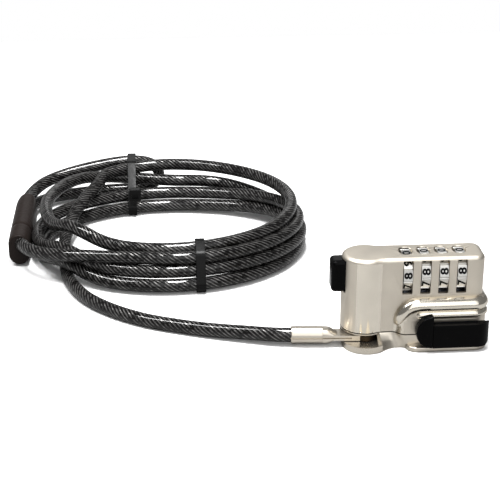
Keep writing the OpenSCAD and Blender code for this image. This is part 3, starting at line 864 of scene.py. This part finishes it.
def make_foot():
    top = SEAM_Z - SEAM_GAP
    levels = [(0, 0, 0, 0.45), (0.13, 0, 0, 0.13), (0.45, 0.05, 0, 0), (2.9, 0.45, 0, 0), (3.6, 0.55, 0.2, 0),
              (5, 0.8, 0.75, 0), (5.7, 0.9, 1, 0), (top, 1, 1, 0)]
    solid = lofted([[(x, y, z) for x, y in plan_of_foot(w, l, inset)] for z, w, l, inset in levels])
    lip = arc(1.5, -10.1, 4.5, 180, 270, 8) + arc(24.2, -8.6, 6, 270, 340, 10)
    lip += [(29.9, -6), (29.6, 0), (-2, 0)]
    solid = combined(solid, [bevelled(prism(lip, 0.02, 2.1), 0.5, 3, 50)], "UNION")
    slot = [(-30, -17), (-17, -17), (-14.4, -15), (-14.2, -6), (-15.5, 2.2), (-30, 2.2)]
    cuts = [prism(slot, 2.9, 5.65),
            prism(oval(BARREL_X, LOBE_Y, RIVET_R, RIVET_R), -1, 8),
            prism(oval(BARREL_X, LOBE_Y, 3, 3), -1, 1),
            block(PIVOT[0] - 5.2, PIVOT[0] + 5.2, -5, 6.4, 2, 8)]
    for x, y in SCREWS:
        cuts.append(prism(oval(x, y, SCREW_R, SCREW_R), -1, 8))
        cuts.append(prism(oval(x, y, SCREW_HEAD_R, SCREW_HEAD_R), -1, SCREW_HEAD_DEEP))
    solid = bevelled(combined(solid, cuts, "DIFFERENCE"), 0.25, 3, 50)
    mesh = shade(solid, 32)
    obj = link("foot_casting", mesh, "housing", [LOOK["foot"], LOOK["painted_gap_shade"]])
    # The faces in the seam gap and the slot's inner walls take painted shade, for the shadow that falls in
    # these gaps.
    for p in mesh.polygons:
        c = p.center / MM
        slot_wall_painted_shade = (3 < c.z < 5.64 and abs(p.normal.z) < 0.5 and p.normal.x < -0.3
                     and -20 < c.x < -14 and -14 < c.y < 2.3)
        if (c.z > 5.5 and abs(p.normal.z) > 0.7) or slot_wall_painted_shade:
            p.material_index = 1
    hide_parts("foot_plate")


make_foot()


def make_button():
    half_d, half_h = BUTTON_D / 2, BUTTON_H / 2
    cap = bevelled(block(BUTTON_LEFT, -21.4, -half_d, half_d, BUTTON_Z - half_h, BUTTON_Z + half_h), 1.8, 7)
    parts = [block(-23.9, -22.4, -half_d - 0.9, half_d + 0.9, BUTTON_Z - half_h, BUTTON_Z + half_h),
             revolved([(-22.5, 3), (-20, 3)], lambda s, u, v: (s, u, AXIS_Z + v), 32)]
    mesh = shade(combined(cap, parts, "UNION"), 32)
    obj = link("button_cap", mesh, "button", [LOOK["gloss"]])
    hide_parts("push_button")


make_button()


def dial_profile():
    """A ten-sided ring outline with a groove at each corner, flats at 0, 36, ... degrees."""
    flat = DIAL_R * math.cos(math.radians(18))
    half = DIAL_R * math.sin(math.radians(18)) - 0.35
    pts = []
    for k in range(10):
        c, d = math.cos(math.radians(36 * k)), math.sin(math.radians(36 * k))
        for w in (-half, half):
            pts.append((flat * c - w * d, flat * d + w * c))
        corner = math.radians(36 * k + 18)
        pts.append(((DIAL_R - 0.8) * math.cos(corner), (DIAL_R - 0.8) * math.sin(corner)))
    return pts


DIGIT_H = 3.2
DIGIT_W = 1.25


def digit_mesh(digit):
    curve = bpy.data.curves.new("digit", "FONT")
    curve.body = str(digit)
    curve.size = DIGIT_H / 0.73
    curve.align_x = "CENTER"
    curve.extrude = 0.05
    curve.offset = 0.16
    curve.resolution_u = 6
    obj = bpy.data.objects.new("digit", curve)
    bpy.context.scene.collection.objects.link(obj)
    mesh = baked(obj)
    ys = [v.co.y for v in mesh.vertices]
    xs = [v.co.x for v in mesh.vertices]
    middle = Matrix.Translation((-(min(xs) + max(xs)) / 2, -(min(ys) + max(ys)) / 2, 0))
    mesh.transform(Matrix.Diagonal((DIGIT_W, 1, 1, 1)) @ middle)
    return mesh


def make_dial(i):
    x0 = DIAL_X[i] - DIAL_W / 2 + 0.1
    flat = DIAL_R * math.cos(math.radians(18))
    turn = math.radians(DIAL_TURN[i])

    def place(u, v, s):
        c, d = math.cos(turn), math.sin(turn)
        return (x0 + s, -(u * c - v * d), AXIS_Z + u * d + v * c)

    ring = prism(dial_profile(), 0, DIAL_W, place)
    bore = revolved([(-1, DIAL_BORE_R), (DIAL_W + 1, DIAL_BORE_R)],
                    lambda s, u, v: (x0 + s, u, AXIS_Z + v), 48)
    ring = bevelled(combined(ring, [bore], "DIFFERENCE"), 0.2, 2, 25)
    digits = []
    for digit in range(10):
        phi = math.radians(DIAL_TURN[i] + 36 * (digit - 8))
        out = Vector((0, -math.cos(phi), math.sin(phi)))
        up = Vector((0, math.sin(phi), math.cos(phi)))
        rows = Matrix((up, Vector((-1, 0, 0)), out)).transposed().to_4x4()
        centre = Vector((x0 + DIAL_W / 2, 0, AXIS_Z)) + out * (flat - 0.035)
        mesh = digit_mesh(digit)
        mesh.transform(Matrix.Translation(centre) @ rows)
        digits.append(mesh)
    mesh = shade(joined(ring, digits), 30)
    looks = [LOOK["dial"], LOOK["ink"]]
    obj = link(f"dial_{i + 1}_ring", mesh, f"dial_body_{i + 1}", looks)
    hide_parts(f"dial_{i + 1}")


for index in range(4):
    make_dial(index)


def make_lever():
    front = LEVER_BACK - LEVER_T
    hub = prism(arc(PIVOT[0], PIVOT[1], HUB_R, 90, 270, 40), front, LEVER_BACK, upright)
    hub = bevelled(hub, 1.3, 6, 50)
    corner = arc(BAR_END - 5.6, front + 6, 6, 270, 339, 12)
    plan = [(PIVOT[0] - 0.01, LEVER_BACK), (PIVOT[0] - 0.01, front)] + corner + [(BAR_END - 0.1, LEVER_BACK)]
    bar = bevelled(prism(plan, BAR_LOW, BAR_HIGH), 1.5, 6, 55)
    rounding = rounded_rect(PIVOT[0] - 9, BAR_END + 0.5, 2.2, 16, 3.2, 8)
    keep = prism(rounding, LEVER_BACK - 5, LEVER_BACK + 1, upright)
    bar = combined(bar, [keep], "INTERSECT")
    mesh = combined(bar, [hub], "UNION")
    hole = revolved([(LEVER_BACK - 2.4, 1.92), (LEVER_BACK + 1, 1.92)],
                    lambda s, u, v: (PIVOT[0] + u, s, PIVOT[1] + v), 32)
    mesh = shade(combined(mesh, [hole], "DIFFERENCE"), 30)
    obj = link("lever_grip", mesh, "lever_body", [LOOK["gloss"]])
    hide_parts("lever")


make_lever()


def make_eyelet():
    eye = [(math.cos(a) * 4, math.sin(a) * 4) for a in [math.radians(d) for d in range(54, 307, 6)]]
    plate = prism([(2.3, -3.24), (13, -3.2), (13, 3.2), (2.3, 3.24)], -1.1, 1.1, at_eye)
    sections = ((10.9, 3.2, 1.1), (11.9, 3.22, 1.4), (13, 3.26, 2.1), (14.2, 3.3, 2.85),
                (15.4, 3.35, 3.25), (17.2, 3.35, 3.35))
    neck = []
    for s, w, h in sections:
        ring = [(math.cos(a), math.sin(a)) for a in angles(48)]
        squared = [(math.copysign(abs(c) ** 0.75, c), math.copysign(abs(d) ** 0.75, d)) for c, d in ring]
        neck.append([at_eye(s, w * c, h * d) for c, d in squared])
    mesh = combined(plate, [lofted(neck)], "UNION")
    mesh = bevelled(combined(mesh, slit(5.5, 18, 2.3), "DIFFERENCE"), 0.18, 2, 40)
    hole = prism(oval(RIVET.x, RIVET.y, RIVET_R, RIVET_R), 0, 9)
    ring = bevelled(combined(prism(eye, -1.08, 1.08, at_eye), [hole], "DIFFERENCE"), 0.18, 2, 40)
    # The eye ring, inside the slot's opening, takes the second material: painted shade for the shadow there.
    mesh = shade(joined(mesh, [ring]), 35)
    looks = [LOOK["foot"], LOOK["painted_gap_shade"]]
    obj = link("eyelet_plate", mesh, "cable_body", looks)
    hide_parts("eyelet")


make_eyelet()

# CAD nodes that keep their shape and take a better material ----------------------------

# The eye rivet takes painted shade, for the shadow in the slot's opening.
CAD_LOOKS = {
    "foot_screws": "zinc", "rear_pad": "rubber", "eye_rivet": "painted_gap_shade", "detent_spring": "spring",
    "button_spring": "spring", "spindle": "zinc", "lock_link": "zinc", "t_bar_shaft": "bright",
    "lever_cam": "brass", "retaining_clip": "spring",
    "sleeve_1": "brass", "sleeve_2": "brass", "sleeve_3": "brass", "sleeve_4": "brass",
}

for node_name, look in CAD_LOOKS.items():
    for material_slot in NODES[node_name].material_slots:
        material_slot.material = LOOK[look]

# Floor, lights and surroundings ----------------------------------------------------------


def seen_by_camera(tree):
    return tree.nodes.new("ShaderNodeLightPath").outputs["Is Camera Ray"]


FLOOR_HALF = 0.5  # m
FLOOR_SEEN = 0.97
FLOOR_MIRRORED = 0.36


def make_floor():
    """A plain pale floor that is duller in reflections, as under a small studio table."""
    n = Nodes("floor")
    look = n.mix(seen_by_camera(n.tree), (FLOOR_MIRRORED,) * 3, (FLOOR_SEEN,) * 3)
    n.set(Base_Color=look, Roughness=0.8, Specular_IOR_Level=0.0)
    mesh = mesh_of("floor", [(-FLOOR_HALF, -FLOOR_HALF, 0), (FLOOR_HALF, -FLOOR_HALF, 0),
                              (FLOOR_HALF, FLOOR_HALF, 0), (-FLOOR_HALF, FLOOR_HALF, 0)], [[0, 1, 2, 3]])
    mesh.materials.append(n.material)
    obj = bpy.data.objects.new("floor", mesh)
    bpy.context.scene.collection.objects.link(obj)


def make_softbox(name, at, target, size, power):
    data = bpy.data.lights.new(name, "AREA")
    data.shape = "RECTANGLE"
    data.size, data.size_y = size
    data.energy = power
    obj = bpy.data.objects.new(name, data)
    obj.location = at
    obj.rotation_euler = (Vector(target) - Vector(at)).to_track_quat("-Z", "Y").to_euler()
    bpy.context.scene.collection.objects.link(obj)


WORLD_SEEN = 1.0
WORLD_MIRRORED = 0.22


def make_world():
    world = bpy.data.worlds.new("studio")
    world.use_nodes = True
    tree = world.node_tree
    shader = tree.nodes["Background"]
    shader.inputs["Color"].default_value = (1, 1, 1, 1)
    power = tree.nodes.new("ShaderNodeMapRange")
    power.inputs["To Min"].default_value = WORLD_MIRRORED
    power.inputs["To Max"].default_value = WORLD_SEEN
    tree.links.new(seen_by_camera(tree), power.inputs["Value"])
    tree.links.new(power.outputs[0], shader.inputs["Strength"])
    bpy.context.scene.world = world


make_floor()
make_softbox("overhead", (-0.06, 0, 0.8), (-0.06, 0.02, 0), (0.1, 0.42), 9)
make_softbox("overhead_left", (-0.46, 0, 0.78), (-0.1, 0.02, 0), (0.1, 0.36), 6)
make_softbox("front", (0.1, -1.1, 0.6), (-0.01, 0, 0.02), (1.1, 0.85), 5)
make_softbox("high_front", (0.05, -0.45, 0.72), (0, 0, 0.02), (0.6, 0.4), 1.3)
make_softbox("high_back", (0.05, 1.2, 0.52), (0, 0, 0.03), (0.8, 0.35), 0.8)
make_world()
bpy.context.scene.view_settings.view_transform = "Standard"
